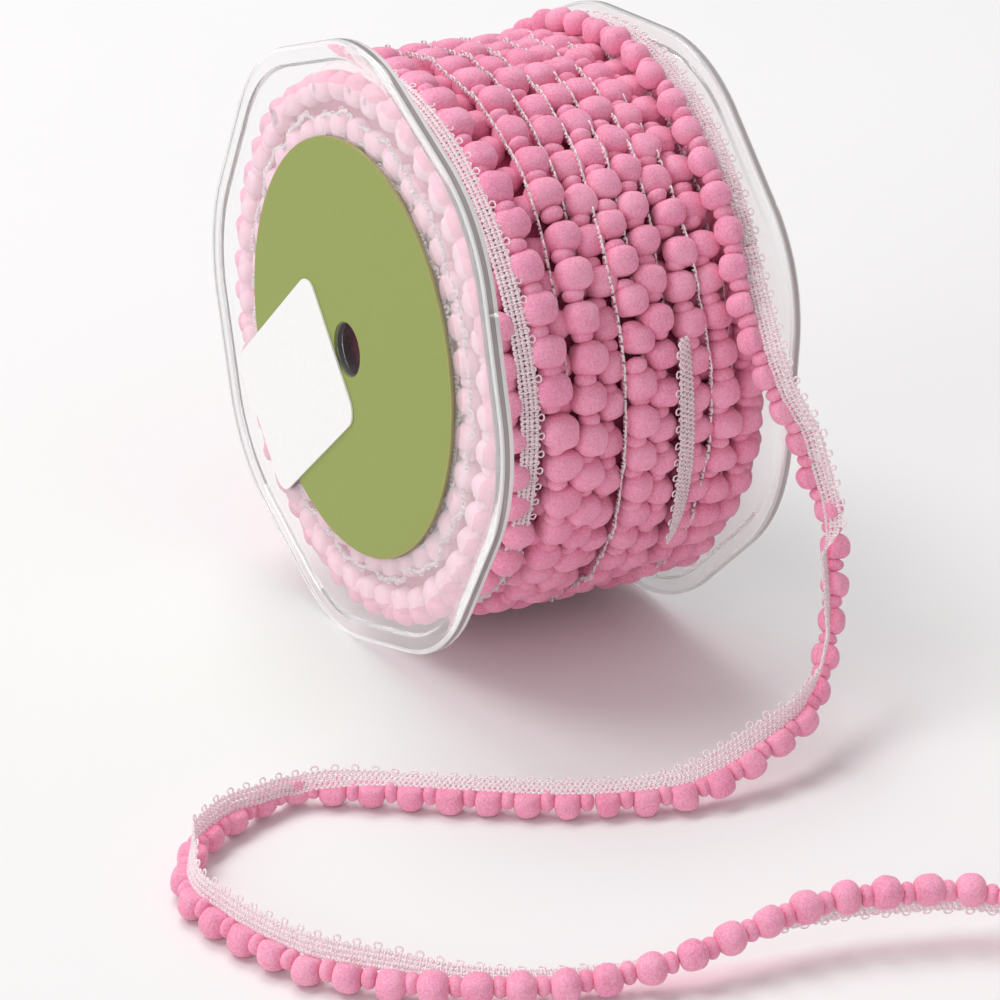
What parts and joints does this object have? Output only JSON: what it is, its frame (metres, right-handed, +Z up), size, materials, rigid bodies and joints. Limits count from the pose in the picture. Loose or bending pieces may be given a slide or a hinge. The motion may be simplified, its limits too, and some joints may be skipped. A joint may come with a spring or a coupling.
{
  "type": "roll of pompom trim on a spool",
  "caption": "Clear octagonal spool standing on its flats, wound full with pompom trim, its loose end falling off in front and looping over the floor.",
  "frame": {"origin": "on the floor, under the middle of the spool's bounds, the loose end left out", "axes": "+Z up, +X along the spool's axis from the labelled flange to the plain one, -Y to the front, where the loose end lies"},
  "size_m": [0.143, 0.2324, 0.124],
  "materials": {
    "clear_polystyrene": "clear moulded polystyrene, polished, faintly grey at its edges",
    "label_paper": "matte printed paper, olive green",
    "sticker_paper": "smooth white paper, blank",
    "pompom_yarn": "clipped brushed yarn, matte, pink",
    "knitted_tape": "shiny knitted filament, light pink"
  },
  "bodies": {
    "root": {"flange_label_side": "clear_polystyrene", "flange_far_side": "clear_polystyrene", "hub_tube": "clear_polystyrene", "paper_label": "label_paper", "blank_sticker": "sticker_paper", "wound_trim": "pompom_yarn", "loose_pompoms": "pompom_yarn", "loose_tape": "knitted_tape"}
  },
  "joints": []
}
